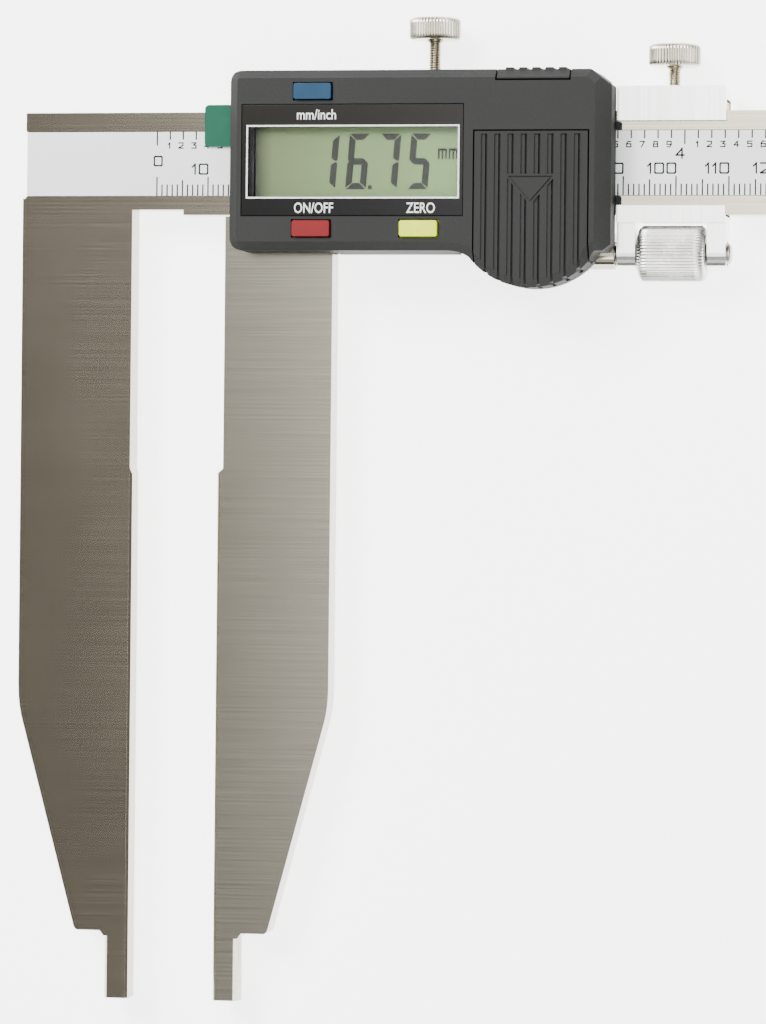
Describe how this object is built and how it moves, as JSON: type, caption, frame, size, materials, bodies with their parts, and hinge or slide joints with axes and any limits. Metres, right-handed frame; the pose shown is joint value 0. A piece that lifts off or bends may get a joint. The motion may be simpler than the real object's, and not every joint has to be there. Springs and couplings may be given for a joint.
{
  "type": "digital caliper",
  "caption": "Long-jaw digital caliper with a sliding display, fine-feed block, clamp screws and round-backed inside-measuring jaw tips.",
  "frame": {"origin": "centre of the footprint, on the surface the caliper lies on with its display up", "axes": "+X along the beam away from the jaws, +Y from the jaw tips towards the beam, +Z out of the display"},
  "size_m": [0.4342, 0.1876, 0.0201],
  "materials": {
    "jaw_steel": "satin ground and brushed hardened steel",
    "slide_steel": "fine brushed satin steel",
    "block_steel": "bright satin steel",
    "nickel": "bright nickel plate, knurled",
    "screw_steel": "turned steel",
    "gib_brass": "scraped brass",
    "scale_foil": "silver-white matt foil with dark graduations",
    "circuit": "green circuit board",
    "case_plastic": "fine-grained moulded dark grey plastic",
    "black_plastic": "black moulded plastic",
    "window": "glossy clear panel with a black printed border",
    "lcd": "grey-green reflective display glass",
    "rubber_pink": "conductive rubber",
    "contact": "gold-plated spring strip",
    "cell_steel": "nickel-plated cell can",
    "back_label": "matt aluminium plate",
    "key_blue": "semi-matt blue plastic",
    "key_red": "semi-matt red plastic",
    "key_yellow": "semi-matt pale yellow plastic",
    "tab_green": "green plastic film"
  },
  "bodies": {
    "beam": {"beam_with_fixed_jaw": "jaw_steel", "scale_circuit_strip": "circuit", "scale_label": "scale_foil", "end_stop_plate": "slide_steel", "end_stop_screw_1": "screw_steel", "end_stop_screw_2": "screw_steel"},
    "slider": {"slider_frame": "slide_steel", "housing": "case_plastic", "back_label_plate": "back_label", "reader_board": "circuit", "main_board": "circuit", "lcd_frame": "black_plastic", "lcd_glass": "lcd", "zebra_strip_upper": "rubber_pink", "zebra_strip_lower": "rubber_pink", "display_window": "window", "tact_switch_units": "black_plastic", "tact_switch_power": "black_plastic", "tact_switch_zero": "black_plastic", "coin_cell": "cell_steel", "battery_contact_negative": "contact", "battery_contact_positive": "contact", "data_port_connector": "black_plastic", "inspection_tab": "tab_green", "fine_feed_rod": "screw_steel", "rod_lock_nut": "screw_steel", "gib_set_screw_1": "screw_steel", "gib_set_screw_2": "screw_steel", "housing_screw_1": "screw_steel", "housing_screw_2": "screw_steel", "housing_screw_3": "screw_steel", "housing_screw_4": "screw_steel", "dust_wiper_upper": "black_plastic", "dust_wiper_lower": "black_plastic"},
    "gib": {"slider_gib": "gib_brass"},
    "clamp": {"clamp_screw": "nickel"},
    "feed_block": {"fine_block": "block_steel"},
    "feed_gib": {"fine_block_gib": "gib_brass"},
    "feed_clamp": {"fine_clamp_screw": "nickel"},
    "feed_nut": {"fine_feed_nut": "nickel"},
    "units_key": {"units_button": "key_blue"},
    "power_key": {"power_button": "key_red"},
    "zero_key": {"zero_button": "key_yellow"},
    "lid": {"battery_lid": "case_plastic"},
    "port_cover": {"data_port_cover": "case_plastic"}
  },
  "joints": [
    {"name": "slider_travel", "type": "slide", "parent": "beam", "child": "slider", "axis": [1, 0, 0], "range_m": [-0.0167, 0.28325]},
    {"name": "slider_gib_press", "type": "slide", "parent": "slider", "child": "gib", "axis": [0, -1, 0], "range_m": [0, 0.0002]},
    {"name": "clamp_turn", "type": "hinge", "parent": "gib", "child": "clamp", "pos_m": [-0.13748, 0.08605, 0.0058], "axis": [0, -1, 0], "range_deg": [0, 161]},
    {"name": "fine_feed", "type": "slide", "parent": "slider", "child": "feed_block", "axis": [1, 0, 0], "range_m": [0, 0.007]},
    {"name": "fine_nut_turn", "type": "hinge", "parent": "feed_block", "child": "feed_nut", "pos_m": [-0.09158, 0.04905, 0.0058], "axis": [1, 0, 0], "range_deg": [0, 3605]},
    {"name": "fine_gib_press", "type": "slide", "parent": "feed_block", "child": "feed_gib", "axis": [0, -1, 0], "range_m": [0, 0.0002]},
    {"name": "fine_clamp_turn", "type": "hinge", "parent": "feed_gib", "child": "feed_clamp", "pos_m": [-0.09158, 0.08205, 0.0058], "axis": [0, -1, 0], "range_deg": [0, 161]},
    {"name": "units_press", "type": "slide", "parent": "slider", "child": "units_key", "axis": [0, 0, -1], "range_m": [0, 0.00045], "stiffness_N_per_m": 1200, "springref_m": -0.0003},
    {"name": "power_press", "type": "slide", "parent": "slider", "child": "power_key", "axis": [0, 0, -1], "range_m": [0, 0.00045], "stiffness_N_per_m": 1200, "springref_m": -0.0003},
    {"name": "zero_press", "type": "slide", "parent": "slider", "child": "zero_key", "axis": [0, 0, -1], "range_m": [0, 0.00045], "stiffness_N_per_m": 1200, "springref_m": -0.0003},
    {"name": "lid_slide", "type": "slide", "parent": "slider", "child": "lid", "axis": [0, -1, 0], "range_m": [0, 0.02]},
    {"name": "port_cover_pull", "type": "slide", "parent": "slider", "child": "port_cover", "axis": [0, 1, 0], "range_m": [0, 0.004]}
  ],
  "couplings": [
    {"joint": "clamp_turn", "follows": "slider_gib_press", "rad_per_m": 13963},
    {"joint": "fine_nut_turn", "follows": "fine_feed", "rad_per_m": 8976},
    {"joint": "fine_clamp_turn", "follows": "fine_gib_press", "rad_per_m": 13963}
  ]
}
